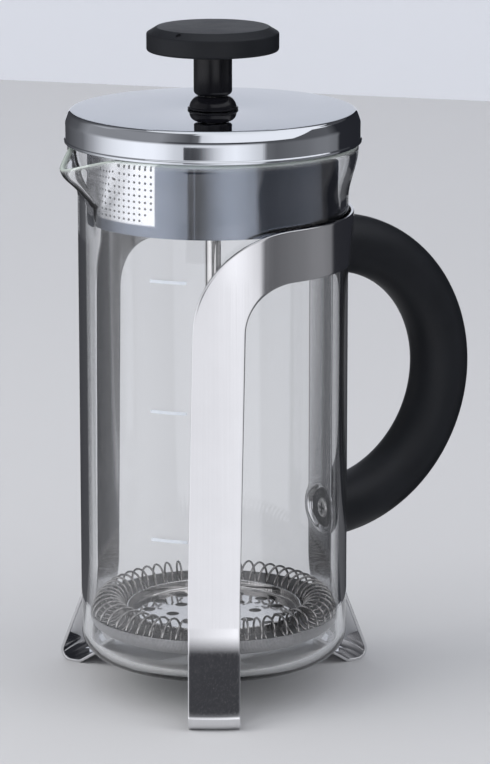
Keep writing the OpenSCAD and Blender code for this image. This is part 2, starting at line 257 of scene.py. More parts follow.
GLASS_LO, GLASS_HI = box_mm("beaker")
FRAME_TOP = box_mm("frame_sheet")[1].z
LID_LO, LID_HI = box_mm("lid_cover")
SLEEVE_LO, SLEEVE_HI = box_mm("strainer_sleeve")
GRIP_LO, GRIP_HI = box_mm("handle_grip")
KNOB_LO, KNOB_HI = box_mm("knob_disc")
STEM_LO, STEM_HI = box_mm("knob_stem")
BUSH_LO, BUSH_HI = box_mm("lid_bush")
ROD_LO, ROD_HI = box_mm("plunger_rod")
COIL_LO, COIL_HI = box_mm("coil_spring")
CUP_LO, CUP_HI = box_mm("mesh_screen")
PLATE_LO, PLATE_HI = box_mm("perforated_plate")
HUB_LO, HUB_HI = box_mm("filter_hub")
CROSS_LO, CROSS_HI = box_mm("cross_plate")
NUT_LO, NUT_HI = box_mm("filter_nut")
SCREW_LO, SCREW_HI = box_mm("handle_screws")
BORE_R = 2.06


# -------- glass beaker

GLASS_WALL = 2.0
GLASS_FLOOR = 2.3
GLASS_R = 35.0
GLASS_CORNER = 5.9
FLARE_Z = 130.5
FLARE_RISE = 12.5
SPOUT_Z = 130.6
SPOUT_TIP_Z = 141.2
SPOUT_ANGLE = 21.0
SPOUT_FOOT_ANGLE = 5.0
SPOUT_OPENING = 0.9
SPOUT_SOFTNESS = 0.16
SPOUT_CREASE = 1.5
SPOUT_BELLY = 1.25
SPOUT_DIP = 3.4
SPOUT_DIP_START = 0.3
# height of the band at the top of the rim over which a pale green glow is painted into the glass
RIM_GLOW_H = 1.3


def glass_radius(z, inset):
    """Radius of the wall at a height, with the S-shaped flare under the rim."""
    return GLASS_R - inset + (GLASS_HI.x - GLASS_R) * smooth_step((z - FLARE_Z) / FLARE_RISE)


def glass_outline():
    """Closed outline (r, z) of the beaker, up the outside and down the inside."""
    rim_z, base_z = GLASS_HI.z, GLASS_LO.z
    half = GLASS_WALL / 2
    flare_top = rim_z - half
    first_z = base_z + GLASS_CORNER
    wall_steps, flare_steps = 12, 16
    heights = [first_z + (SPOUT_Z - first_z) * k / wall_steps for k in range(1, wall_steps)]
    heights += [SPOUT_Z + (flare_top - SPOUT_Z) * k / flare_steps for k in range(flare_steps + 1)]
    outline = [(0, base_z)]
    outline += arc((GLASS_R - GLASS_CORNER, first_z), GLASS_CORNER, -90, 0, 10)
    outline += [(glass_radius(z, 0), z) for z in heights]
    outline += arc((GLASS_HI.x - half, flare_top), half, 0, 180, 8)[1:-1]
    outline += [(glass_radius(z, GLASS_WALL), z) for z in reversed(heights)]
    inner = GLASS_CORNER - GLASS_WALL
    floor_z = base_z + GLASS_FLOOR
    outline += arc((GLASS_R - GLASS_WALL - inner, floor_z + inner), inner, 0, -90, 8)
    outline.append((0, floor_z))
    return outline


def pull_spout(co):
    """Draws the wall opposite the handle out into a pinched spout."""
    r = hypot(co.x, co.y) / MM
    z = co.z / MM
    if r < GLASS_R - 2 * GLASS_WALL or z < SPOUT_Z:
        return
    up = (z - SPOUT_Z) / (GLASS_HI.z - SPOUT_Z)
    width = SPOUT_FOOT_ANGLE + (SPOUT_ANGLE - SPOUT_FOOT_ANGLE) * up ** SPOUT_OPENING
    off = abs(degrees(atan2(co.y, -co.x))) / width
    if off >= 1:
        return
    soft = SPOUT_SOFTNESS
    off = (hypot(off, soft) - soft) / (hypot(1, soft) - soft)
    fold = max(1 - off, 0) ** SPOUT_CREASE
    z -= SPOUT_DIP * fold * smooth_step((up - SPOUT_DIP_START) / (1 - SPOUT_DIP_START))
    rise = min((z - SPOUT_Z) / (SPOUT_TIP_Z - SPOUT_Z), 1)
    reach = (-GLASS_LO.x - GLASS_HI.x) * (1 - (1 - rise) ** SPOUT_BELLY) * fold
    co.x *= (r + reach) / r
    co.y *= (r + reach * (1 - 0.5 * fold)) / r
    co.z = z * MM


def make_beaker():
    """Glass beaker; its point attribute rises from 0 to 1 over the top of the rim and marks the band where
    the glass paints a pale green glow.
    """
    obj = revolve("glass_beaker", glass_outline(), 480)
    painted_rim_glow = obj.data.attributes.new("painted_rim_glow", "FLOAT", "POINT")
    for spot, vert in zip(painted_rim_glow.data, obj.data.vertices):
        spot.value = smooth_step((vert.co.z / MM - GLASS_HI.z + RIM_GLOW_H) / RIM_GLOW_H)
        pull_spout(vert.co)
    tidy_mesh(obj, 60)
    return obj


# -------- steel frame

SHEET = 0.8
SHEET_R = 36.0
LEG_W = 13.3
LEG_PITCH = 120.0
CORNER_IN = 12.3
CORNER_OUT = CORNER_IN + LEG_W
LEG_LEAN = 1.4
BAND_Z = FRAME_TOP - LEG_W
CORNER_Z = FRAME_TOP - CORNER_OUT
CORNER_X = LEG_LEAN + LEG_W / 2 + CORNER_IN
TEE_R = 8.0
FOOT_SLOPE = 22.5
KNEE_R = 28.0
TOE_REACH = 44.5
TOE_R = 2.6
TOE_LAND = 2.0
RETURN_SLOPE = 33.0
TAB_R = 3.0
TAB_INNER = 20.0
TAB_Z = GLASS_LO.z - 0.1 - SHEET / 2
SCREW_HEAD_R = 2.8
SCREW_ZS = (SCREW_LO.z + SCREW_HEAD_R, SCREW_HI.z - SCREW_HEAD_R)
DISH_X = SHEET_R + 1.6
DISH_FLOOR_R = 4.2
DISH_WALL = 2.4
BOSS_R = 8.2
ACROSS = 20
FOOT_STEP = 1.6
LEG_STEPS = 24
CORNER_STEPS = 24
HANDLE_LEG_STEPS = 150
BAND_STEPS = 30
LEAN_START = 4.0


def foot_path():
    """Middle line (r, z) of the sheet from the knee over the toe to the tab under the glass."""
    slope = radians(FOOT_SLOPE)
    rise = radians(RETURN_SLOPE)
    toe_z = TOE_R + SHEET / 2
    toe_r = TOE_REACH - toe_z
    start = (toe_r + TOE_R * cos(slope), toe_z + TOE_R * sin(slope))
    knee_end_r = SHEET_R + KNEE_R * (1 - cos(slope))
    knee_end_z = start[1] + (start[0] - knee_end_r) / tan(slope)
    path = arc((SHEET_R + KNEE_R, knee_end_z + KNEE_R * sin(slope)), KNEE_R, 180, 180 + FOOT_SLOPE, 8)
    path += arc((toe_r, toe_z), TOE_R, FOOT_SLOPE, -90, 14)
    path += arc((toe_r - TOE_LAND, toe_z), TOE_R, -90, -90 - RETURN_SLOPE, 5)
    toe_end = path[-1]
    tab_start_z = TAB_Z - TAB_R * (1 - cos(rise))
    tab_start_r = toe_end[0] - (tab_start_z - toe_end[1]) / tan(rise)
    centre = (tab_start_r - TAB_R * sin(rise), tab_start_z - TAB_R * cos(rise))
    path += arc(centre, TAB_R, 90 - RETURN_SLOPE, 90, 5)
    path.append((TAB_INNER, TAB_Z))
    return path


def on_sheet(azimuth, x, r, z):
    """Point at sideways distance x from the middle of the leg that stands at an azimuth, in degrees."""
    turn = asin(x / r)
    if azimuth == 0:
        for screw_z in SCREW_ZS:
            off = hypot(x, z - screw_z)
            depth = 1 - smooth_step((off - DISH_FLOOR_R) / DISH_WALL)
            r += depth * (DISH_X / cos(turn) - r)
    turn += radians(azimuth)
    return at(r, turn, z)


def front_leg_rows(side):
    """Rows of points across a front leg, from the tab over the toe and up round into the band."""
    spread = [LEG_W * (0.5 - j / ACROSS) for j in range(ACROSS + 1)]
    path = foot_path()
    knee_z = path[0][1]
    lean_z = knee_z + LEAN_START
    rows = [[(x, r, z) for x in spread] for r, z in reversed(divided(path, FOOT_STEP))]
    for k in range(1, LEG_STEPS):
        z = knee_z + (CORNER_Z - knee_z) * k / LEG_STEPS
        lean = LEG_LEAN * max(z - lean_z, 0) / (CORNER_Z - lean_z)
        rows.append([(x + lean, SHEET_R, z) for x in spread])
    radii = [CORNER_IN + LEG_W * j / ACROSS for j in range(ACROSS + 1)]
    for k in range(CORNER_STEPS + 1):
        turn = radians(90 * k / CORNER_STEPS)
        row = [(CORNER_X - q * cos(turn), SHEET_R, CORNER_Z + q * sin(turn)) for q in radii]
        rows.append(row)
    return [[on_sheet(-LEG_PITCH * side, x * side, r, z) for x, r, z in row] for row in rows]


def handle_leg_spread(z):
    """Sideways places of the points across the leg under the handle, at a height."""
    rise = max(z - (BAND_Z - TEE_R), 0)
    half = LEG_W / 2 + TEE_R - sqrt(max(TEE_R ** 2 - rise ** 2, 0))
    boss = BOSS_R ** 2 - (z - SCREW_ZS[0]) ** 2
    half = max(half, sqrt(max(boss, 0)))
    return [half * (2 * j / ACROSS - 1) for j in range(ACROSS + 1)]


def handle_leg_rows():
    """Rows of points across the leg under the handle, from its tab up to the band."""
    path = foot_path()
    knee_z = path[0][1]
    spread = [LEG_W * (j / ACROSS - 0.5) for j in range(ACROSS + 1)]
    rows = [[on_sheet(0, x, r, z) for x in spread] for r, z in reversed(divided(path, FOOT_STEP))]
    for k in range(1, HANDLE_LEG_STEPS + 1):
        z = knee_z + (BAND_Z - knee_z) * k / HANDLE_LEG_STEPS
        rows.append([on_sheet(0, x, SHEET_R, z) for x in handle_leg_spread(z)])
    return rows


def band_rows():
    """Columns of points up the band, dense over the leg under the handle."""
    heights = [BAND_Z + LEG_W * j / ACROSS for j in range(ACROSS + 1)]
    end = LEG_PITCH - degrees(asin(CORNER_X / SHEET_R))
    tee = [degrees(asin(x / SHEET_R)) for x in handle_leg_spread(BAND_Z)]
    outer = [tee[-1] + (end - tee[-1]) * k / BAND_STEPS for k in range(1, BAND_STEPS + 1)]
    rows = []
    for azimuth in [-a for a in reversed(outer)] + tee + outer:
        x = SHEET_R * sin(radians(azimuth))
        spot = (0, x) if abs(azimuth) <= tee[-1] + 0.01 else (azimuth, 0)
        rows.append([on_sheet(*spot, SHEET_R, z) for z in heights])
    return rows


def make_frame():
    """The frame, bent from one sheet: two front legs, the band and the leg under the handle."""
    verts, faces = [], []
    for rows in (front_leg_rows(1), front_leg_rows(-1), band_rows(), handle_leg_rows()):
        add_rows(verts, faces, rows)
    obj = new_object("steel_frame", verts, faces, 180)
    thicken(obj, SHEET)
    soften(obj, 0.18, angle=60, sharp=50)
    return obj


# -------- handle and its screws

SEAT_R = SHEET_R + SHEET / 2
GRIP_R = (GRIP_HI.y - GRIP_LO.y) / 2
GRIP_Z = (GRIP_LO.z + GRIP_HI.z) / 2
GRIP_RING = (GRIP_HI.z - GRIP_LO.z) / 2 - GRIP_R
GRIP_X = GRIP_HI.x - GRIP_RING - GRIP_R


def grip_point(turn, around):
    """Point on the grip: turn runs along the C from its upper end, around runs round the section."""
    ring = GRIP_RING + GRIP_R * cos(around)
    x, z = GRIP_X + ring * sin(turn), GRIP_Z + ring * cos(turn)
    return Vector((x, GRIP_R * sin(around), z))


def grip_start(around):
    """Turn at which a line along the grip leaves the curved face of the frame."""
    low, high = -0.2, 0.6
    for _ in range(40):
        mid = (low + high) / 2
        point = grip_point(mid, around)
        if hypot(point.x, point.y) < SEAT_R:
            low = mid
        else:
            high = mid
    return high


def seat_ring(edge, scale):
    """The ring of points at the grip's end drawn in towards its middle, on the frame's face."""
    ring = []
    centre_z = GRIP_Z + GRIP_RING
    for point in edge:
        y = point.y * scale
        ring.append(Vector((sqrt(SEAT_R ** 2 - y ** 2), y, centre_z + (point.z - centre_z) * scale)))
    return ring


def make_grip():
    """The C-shaped handle, cut to sit on the curved frame."""
    sides, steps = 64, 96
    angles = [2 * pi * k / sides for k in range(sides)]
    starts = [grip_start(a) for a in angles]
    rows = []
    for i in range(steps + 1):
        share = i / steps
        rows.append([grip_point(s + (pi - 2 * s) * share, a) for s, a in zip(starts, angles)])
    caps = [seat_ring(rows[0], scale) for scale in (0.05, 0.35, 0.65, 0.93)]
    lower = [[Vector((p.x, p.y, 2 * GRIP_Z - p.z)) for p in ring] for ring in caps]
    rows = caps + rows + lower[::-1]
    verts, faces = [], []
    add_rows(verts, faces, [[p * MM for p in row] for row in rows], True)
    faces.append(tuple(range(sides)))
    faces.append(tuple(range(len(verts) - sides, len(verts))))
    obj = new_object("handle", verts, faces, 50)
    soften(obj, 0.4, 3, 50, 50)
    return obj


def make_screw(index, z):
    """Pan-head screw with a cross recess; its head faces the glass."""
    head_h, shank_r, recess, twist = 1.4, 1.5, (2.9, 0.62, 1.6), 25 * index
    length = SCREW_HI.x - SCREW_LO.x
    outline = [(0, 0, 0), (SCREW_HEAD_R, 0, 0.8), (SCREW_HEAD_R, head_h, 0.12), (shank_r, head_h, 0)]
    outline += [(shank_r, length, 0.4), (0, length, 0)]
    obj = revolve("handle_screw_%d" % index, rounded(outline), 48)
    for turn in (0, 90):
        carve(obj, block(recess, (0, 0, 0), turn + twist))
    stand = Matrix.Rotation(radians(90), 4, "Y")
    obj.data.transform(Matrix.Translation((SCREW_LO.x * MM, 0, z * MM)) @ stand)
    tidy_mesh(obj)
    return obj


# -------- lid and strainer sleeve

LID_SHEET = 0.8
LID_HOLE_R = 3.56
SLEEVE_T = 0.5
SLEEVE_R = 32.4 - SLEEVE_T / 2
SLEEVE_COLUMNS = 96
FLANGE_BEND = 0.6
SEAM_AZIMUTH = radians(-128)
HOLE_PITCH = 1.63
HOLE_R = 0.33
PATCH_ROWS = 10
PATCH_COLUMNS = 23
PATCH_Z = 128.4
THIRDS = 3


def make_lid():
    """Pressed steel lid with a bevelled shoulder and a beaded lower edge."""
    top, low, bead_r = LID_HI.z, LID_LO.z, LID_HI.x
    flat_r, side_r, shoulder_z = 36.9, 38.0, 150.3
    outline = [
        (LID_HOLE_R, top, 0.15),
        (flat_r, top, 1.4),
        (side_r, shoulder_z, 3.0),
        (side_r, shoulder_z - 1.2, 0),
        (side_r, low + 1.3, 0),
        (side_r, low + 0.95, 0.2),
        (bead_r, low + 0.7, 0.25),
        (bead_r, low, 0.3),
        (side_r - LID_SHEET, low, 0.1),
        (side_r - LID_SHEET, shoulder_z - 0.2, 0.4),
        (flat_r - 0.6, top - LID_SHEET, 0.3),
        (LID_HOLE_R, top - LID_SHEET, 0.15),
    ]
    return revolve("lid_shell", rounded(outline, 8), 256)


def sleeve_angles():
    """Azimuths of the sleeve's columns: three to a hole in the patch, and wider ones elsewhere."""
    cell = degrees(HOLE_PITCH / SLEEVE_R)
    half = cell * PATCH_COLUMNS / 2
    patch = [180 - half + cell * k / THIRDS for k in range(PATCH_COLUMNS * THIRDS + 1)]
    rest = 360 - 2 * half
    return patch + [180 + half + rest * k / SLEEVE_COLUMNS for k in range(1, SLEEVE_COLUMNS)]


def sleeve_heights():
    """Heights of the sleeve's rows, three to a hole in the patch, and of the start of the flange's bend."""
    patch = [PATCH_Z + HOLE_PITCH * k / THIRDS for k in range(PATCH_ROWS * THIRDS + 1)]
    low = SLEEVE_LO.z
    bend = SLEEVE_HI.z - SLEEVE_T / 2 - FLANGE_BEND
    return [low, low + 0.4, low + 1.2] + patch + [bend], bend


def sleeve_point(s, z):
    """Point of the sleeve at a distance round it and a height."""
    return at(SLEEVE_R, s / SLEEVE_R, z)


def add_hole(verts, faces, corners):
    """Fills one cell of the patch with a ring of faces round a hole."""
    edge = [column[0] for column in corners]
    edge += corners[-1][1:]
    edge += [column[-1] for column in reversed(corners[:-1])]
    edge += corners[0][-2:0:-1]
    count = len(edge)
    centre = sum((Vector(key) for key in edge), Vector((0, 0))) / count
    start = len(verts)
    verts += [sleeve_point(*(centre + (Vector(key) - centre).normalized() * HOLE_R)) for key in edge]
    verts += [sleeve_point(*key) for key in edge]
    for k in range(count):
        n = (k + 1) % count
        faces.append((start + k, start + n, start + count + n, start + count + k))


def drilled_cells():
    """Columns and rows of the patch that have a hole; its two lower corners have none."""
    cells = [(i, j) for i in range(PATCH_COLUMNS) for j in range(PATCH_ROWS)]
    return [(i, j) for i, j in cells if min(i, PATCH_COLUMNS - 1 - i) + j >= 2]


def add_wall(verts, faces, places, heights):
    """Adds the sleeve's wall, with its holes."""
    first_row = heights.index(PATCH_Z)
    cells = drilled_cells()
    for i, j in cells:
        columns = places[i * THIRDS:(i + 1) * THIRDS + 1]
        low = first_row + j * THIRDS
        add_hole(verts, faces, [[(s, z) for z in heights[low:low + THIRDS + 1]] for s in columns])
    start, rows = len(verts), len(heights)
    for s in places:
        verts.extend(sleeve_point(s, z) for z in heights)
    for i in range(len(places) - 1):
        for j in range(rows - 1):
            if j >= first_row and (i // THIRDS, (j - first_row) // THIRDS) in cells:
                continue
            a = start + i * rows + j
            faces.append((a, a + rows, a + rows + 1, a + 1))


def make_sleeve():
    """The strainer sleeve under the lid, with its patch of drilled holes behind the spout."""
    heights, bend = sleeve_heights()
    places = [radians(a) * SLEEVE_R for a in sleeve_angles()]
    places.append(places[0] + 2 * pi * SLEEVE_R)
    verts, faces = [], []
    add_wall(verts, faces, places, heights)
    flange = arc((SLEEVE_R + FLANGE_BEND, bend), FLANGE_BEND, 180, 90, 4)
    flange += [(r, flange[-1][1]) for r in (34.5, 36.9)]
    add_rows(verts, faces, [[at(r, s / SLEEVE_R, z) for r, z in flange] for s in places])
    obj = new_object("strainer_sleeve_shell", verts, faces, 180)
    thicken(obj, SLEEVE_T)
    tidy_mesh(obj, 40)
    return obj


# -------- plunger and its bush

DIMPLE_AZIMUTH = radians(-154)
DIMPLE_TILT = radians(32)


def make_bush():
    """Bulging bush with a thin rim at its foot, which guides the rod through the lid."""
    low, top, rim_r = BUSH_LO.z, BUSH_HI.z, BUSH_HI.x
    spigot_r, foot_z = 3.5, LID_HI.z + 0.1
    bulge = [(r, z, 0) for r, z in arc((2.7, foot_z + 0.1), 3.4, 8, 65, 14)]
    outline = [(BORE_R, low, 0), (spigot_r, low, 0.2), (spigot_r, foot_z, 0), (rim_r, foot_z, 0.08)]
    outline += [(rim_r, foot_z + 0.35, 0.12)] + bulge
    outline += [(bulge[-1][0] - 0.4, top, 0.2), (BORE_R, top, 0.1)]
    return revolve("bush", rounded(outline), 96)


def make_stem():
    """Turned stem between the rod and the knob."""
    low, top, stem_r = STEM_LO.z, STEM_HI.z, STEM_HI.x
    outline = [(BORE_R, low, 0), (stem_r, low, 1.2), (stem_r, top, 0), (BORE_R, top, 0)]
    return revolve("stem", rounded(outline, 6), 96)


def make_knob():
    """Round knob with a bevelled upper edge and a small dimple in the bevel."""
    low, top, knob_r = KNOB_LO.z, KNOB_HI.z, KNOB_HI.x
    outline = [
        (0, low, 0),
        (knob_r, low, 0.7),
        (knob_r, top - 1.6, 0.5),
        (knob_r - 2.6, top, 0.6),
        (0, top, 0),
    ]
    obj = revolve("knob", rounded(outline, 6), 192)
    dimple = revolve("cutter", rounded([(0, -1, 0), (0.7, -1, 0.3), (0.7, 1, 0), (0, 1, 0)]), 24)
    tilt = Matrix.Rotation(DIMPLE_AZIMUTH, 4, "Z") @ Matrix.Rotation(DIMPLE_TILT, 4, "Y")
    dimple.data.transform(Matrix.Translation(at(knob_r - 1.3, DIMPLE_AZIMUTH, top - 0.3)) @ tilt)
    carve(obj, dimple)
    return obj


def make_rod():
    """Plunger rod with chamfered ends."""
    low, top, rod_r = ROD_LO.z, ROD_HI.z, ROD_HI.x
    return revolve("rod", rounded([(0, low, 0), (rod_r, low, 0.3), (rod_r, top, 0.3), (0, top, 0)]), 64)


# -------- filter

COIL_TURNS = 55
COIL_STEPS = 28
WIRE_SIDES = 8
COIL_WIRE_R = 0.3
COIL_TURN_R = (COIL_HI.z - COIL_LO.z) / 2 - COIL_WIRE_R
COIL_RING_R = COIL_HI.x - COIL_WIRE_R - COIL_TURN_R
COIL_Z = (COIL_LO.z + COIL_HI.z) / 2
PLATE_HOLES = ((8, 11.0), (14, 17.5))
PLATE_HOLE_R = 1.7
NUT_STEPS = 96


def coil_point(t):
    """Point on the coil's wire, t running from 0 to 1 once round the filter."""
    ring, turn = 2 * pi * t, 2 * pi * COIL_TURNS * t
    r = COIL_RING_R + COIL_TURN_R * cos(turn)
    return Vector((r * cos(ring), r * sin(ring), COIL_Z + COIL_TURN_R * sin(turn)))


def make_coil():
    """Wire coil that seals the filter against the glass."""
    count = COIL_TURNS * COIL_STEPS
    rows = []
    for i in range(count):
        here = coil_point(i / count)
        along = (coil_point((i + 1) / count) - coil_point((i - 1) / count)).normalized()
        ring = 2 * pi * i / count
        heart = Vector((COIL_RING_R * cos(ring), COIL_RING_R * sin(ring), COIL_Z))
        out = (here - heart).normalized()
        out = (out - along * out.dot(along)).normalized()
        side = along.cross(out)
        row = []
        for k in range(WIRE_SIDES):
            turn = 2 * pi * k / WIRE_SIDES
            spoke = out * cos(turn) + side * sin(turn)
            row.append((here + spoke * COIL_WIRE_R) * MM)
        rows.append(row)
    verts, faces = [], []
    add_rows(verts, faces, rows + [rows[0]], True)
    return new_object("coil", verts, faces, 80)


def make_cup():
    """Woven screen under the plate, turned up round the coil to a folded hem."""
    base, sheet, hole_r = CUP_LO.z, 0.2, BORE_R + 2.5
    wrap = CUP_HI.x - COIL_RING_R - sheet
    outline = [(hole_r, base + sheet), (hole_r, base)]
    outline += arc((COIL_RING_R, COIL_Z), wrap + sheet, -90, 0, 16)
    outline += [(COIL_RING_R + wrap, COIL_Z)]
    outline += arc((COIL_RING_R, COIL_Z), wrap, 0, -90, 16)[1:]
    return revolve("screen_cup", outline, 240, 60)


def make_plate():
    """Pressed plate inside the coil, with two rings of holes and a curled rim."""
    low, top, rim_r, sheet = PLATE_LO.z, PLATE_HI.z, PLATE_HI.x, 0.6
    outline = [
        (BORE_R, low, 0),
        (rim_r, low, 1.1),
        (rim_r, top, 0.28),
        (rim_r - sheet, top, 0.28),
        (rim_r - sheet, low + sheet, 0.6),
        (BORE_R, low + sheet, 0),
    ]
    obj = revolve("plate", rounded(outline, 5), 160)
    cylinder = [(0, low - 1), (PLATE_HOLE_R, low - 1), (PLATE_HOLE_R, low + 2), (0, low + 2)]
    drills = []
    for count, ring_r in PLATE_HOLES:
        for k in range(count):
            drills.append(revolve("cutter", cylinder, 24))
            spot = at(ring_r, 2 * pi * (k + 0.5) / count, 0)
            drills[-1].data.transform(Matrix.Translation(spot))
    carve(obj, joined("cutter", *drills))
    return obj


def make_hub():
    """Turned hub that carries the plate and screws on to the rod."""
    low, top = HUB_LO.z, HUB_HI.z
    flange_r, neck_r = HUB_HI.x, 4.4
    outline = [
        (BORE_R, low, 0),
        (neck_r, low, 0.15),
        (neck_r, top - 1, 0),
        (flange_r, top - 1, 0.2),
        (flange_r, top, 0.3),
        (BORE_R, top, 0.2),
    ]
    return revolve("hub", rounded(outline), 96)


def make_cross():
    """Four-armed plate that spreads the nut's pull under the screen."""
    low, top = CROSS_LO.z, CROSS_HI.z
    reach, half, inner = CROSS_HI.x, 4.5, 1.6
    corners = []
    for arm in range(4):
        spin = Matrix.Rotation(radians(90 * arm), 2)
        for x, y, radius in ((half, -half, inner), (reach, -half, 2.0), (reach, half, 2.0)):
            point = spin @ Vector((x, y))
            corners.append((point.x, point.y, radius))
    outline = rounded(corners, 6)
    count = len(outline)
    verts = [(x * MM, y * MM, z * MM) for z in (low, top) for x, y in outline]
    faces = [tuple(range(count - 1, -1, -1)), tuple(range(count, 2 * count))]
    faces += [(k, (k + 1) % count, count + (k + 1) % count, count + k) for k in range(count)]
    obj = new_object("cross", verts, faces)
    carve(obj, revolve("cutter", [(0, low - 1), (BORE_R, low - 1), (BORE_R, top + 1), (0, top + 1)], 48))
    soften(obj, 0.1, 2, 50)
    return obj


def make_nut():
    """Hexagon nut with chamfered corners, one of them on the X axis."""
    low, top = NUT_LO.z, NUT_HI.z
    sixth = radians(60)
    flat_r = NUT_HI.x * cos(sixth / 2)
    face_r = flat_r * 0.97
    columns = []
    for i in range(NUT_STEPS):
        turn = 2 * pi * i / NUT_STEPS
        r = flat_r / cos(turn % sixth - sixth / 2)
        drop = (r - face_r) * tan(sixth / 2)
        profile = [(BORE_R, low), (face_r, low), (r, low + drop)]
        profile += [(r, top - drop), (face_r, top), (BORE_R, top)]
        columns.append([at(q, turn, z) for q, z in profile])
    rows = [list(row) for row in zip(*columns)]
    verts, faces = [], []
    add_rows(verts, faces, rows + [rows[0]], True)
    return new_object("nut", verts, faces)


# -------- finishes

class Finish:
    """A Principled material, with short calls that add procedural detail to it."""

    def __init__(self, name, **inputs):
        self.mat = bpy.data.materials.new(name)
        self.mat.use_nodes = True
        self.nodes = self.mat.node_tree.nodes
        self.links = self.mat.node_tree.links
        self.shader = self.nodes["Principled BSDF"]
        self.where = self.add("TexCoord").outputs["Object"]
        for socket, value in inputs.items():
            self.shader.inputs[socket.replace("_", " ")].default_value = value

    def feed(self, socket, value):
        """Links an output to a socket, or sets a number, a vector or, from a tuple, a colour on it."""
        if isinstance(value, bpy.types.NodeSocket):
            self.links.new(value, socket)
        else:
            socket.default_value = (*value, 1) if isinstance(value, tuple) else value

    def add(self, kind, **inputs):
        """A new node with these inputs."""
        node = self.nodes.new("ShaderNode" + kind)
        for name, value in inputs.items():
            self.feed(node.inputs[name.replace("_", " ")], value)
        return node

    def stretch(self, x, y, z):
        """Object coordinates in millimetres, stretched along the axes."""
        scale = Vector((1000 / x, 1000 / y, 1000 / z))
        return self.add("Mapping", Scale=scale, Vector=self.where).outputs["Vector"]

    def axes(self, vector=None):
        """The three parts of a vector, or of the object coordinates in metres."""
        return self.add("SeparateXYZ", Vector=vector or self.where).outputs

    def polar(self, around, along):
        """The angle round the Z axis over one size, then the height and the radius over another."""
        x, y, z = self.axes()
        turn = self.maths("ARCTAN2", y, x)
        squares = self.maths("ADD", self.maths("MULTIPLY", x, x), self.maths("MULTIPLY", y, y))
        sizes = {"X": self.maths("MULTIPLY", turn, 1 / around)}
        sizes["Y"] = self.maths("MULTIPLY", z, 1000 / along)
        sizes["Z"] = self.maths("MULTIPLY", self.maths("SQRT", squares), 1000 / along)
        return self.add("CombineXYZ", **sizes).outputs["Vector"]

    def maths(self, operation, *values):
        """The result of a calculation."""
        node = self.add("Math")
        node.operation = operation
        for socket, value in zip(node.inputs, values):
            self.feed(socket, value)
        return node.outputs["Value"]

    def noise(self, vector, detail=2.0, roughness=0.5):
        """Noise of about one cell to a unit of the vector."""
        node = self.add("TexNoise", Vector=vector, Scale=1.0, Detail=detail, Roughness=roughness)
        return node.outputs["Fac"]

    def clouds(self, size):
        """Soft patches of a size in millimetres."""
        return self.noise(self.stretch(size, size, size), 3.0, 0.6)

    def spread(self, factor, low, high, start=0.3, end=0.7):
        """Maps a factor to a range of values."""
        node = self.add("MapRange", Value=factor, From_Min=start, From_Max=end, To_Min=low, To_Max=high)
        return node.outputs["Result"]

    def between(self, factor, low, high):
        """A colour between two, by a factor."""
        node = self.add("Mix")
        node.data_type = "RGBA"
        for socket, value in (("Factor", factor), ("A", low), ("B", high)):
            self.feed(node.inputs[socket], value)
        return node.outputs["Result"]

    def drive(self, socket, value):
        """Links an output to an input of the shader."""
        self.links.new(value, self.shader.inputs[socket])

    def bump(self, height, strength, depth):
        """Adds a bump, its depth in millimetres, over any that is there already."""
        node = self.add("Bump", Height=height, Strength=strength, Distance=depth * MM)
        normal = self.shader.inputs["Normal"]
        if normal.is_linked:
            self.links.new(normal.links[0].from_socket, node.inputs["Normal"])
        self.links.new(node.outputs["Normal"], normal)

    def clear(self, colour=(1, 1, 1)):
        """A shader that lets rays straight through, tinted."""
        return self.add("BsdfTransparent", Color=colour).outputs["BSDF"]

    def mix_surface(self, factor, first, second):
        """Makes the surface a mix of two shaders, by a factor."""
        mix = self.add("MixShader")
        for socket, source in zip(mix.inputs, (factor, first, second)):
            self.links.new(source, socket)
        self.links.new(mix.outputs["Shader"], self.nodes["Material Output"].inputs["Surface"])


def metal(name, colour, roughness, lines, depth):
    """Steel whose colour, gloss and bump vary along fine drawing lines."""
    out = Finish(name, Metallic=1.0)
    fine = out.noise(out.stretch(*lines), 3.0)
    cloud = out.clouds(18)
    dark = tuple(c * 0.93 for c in colour)
    tone = out.maths("ADD", out.spread(cloud, 0, 0.6), out.spread(fine, 0, 0.4))
    out.drive("Base Color", out.between(tone, dark, colour))
    out.drive("Roughness", out.maths("ADD", out.spread(fine, *roughness), out.spread(cloud, 0.0, 0.02)))
    out.bump(fine, 0.5, depth)
    return out.mat


def make_glass():
    """Clear glass with faint waves and a painted pale green glow along the rim; it lets most of the light
    from the lamps through.
    """
    out = Finish("glass", Transmission_Weight=1.0, IOR=1.47, Roughness=0.0)
    rim = out.add("Attribute")
    rim.attribute_name = "painted_rim_glow"
    # painted glow: over the rim band the colour turns pale green and half the light scatters instead of
    # passing, standing in for light caught in the rim
    out.drive("Base Color", out.between(rim.outputs["Fac"], (1.0, 1.0, 1.0), (0.78, 0.87, 0.80)))
    out.drive("Transmission Weight", out.spread(rim.outputs["Fac"], 1.0, 0.5, 0, 1))
    out.bump(out.noise(out.stretch(22, 22, 40), 1.0), 0.35, 0.05)
    tint = out.add("VolumeAbsorption", Color=(0.68, 0.735, 0.735), Density=30.0)
    out.links.new(tint.outputs["Volume"], out.nodes["Material Output"].inputs["Volume"])
    clear = out.clear((0.95, 0.96, 0.955))
    out.mix_surface(out.add("LightPath").outputs["Is Shadow Ray"], out.shader.outputs["BSDF"], clear)
    return out.mat


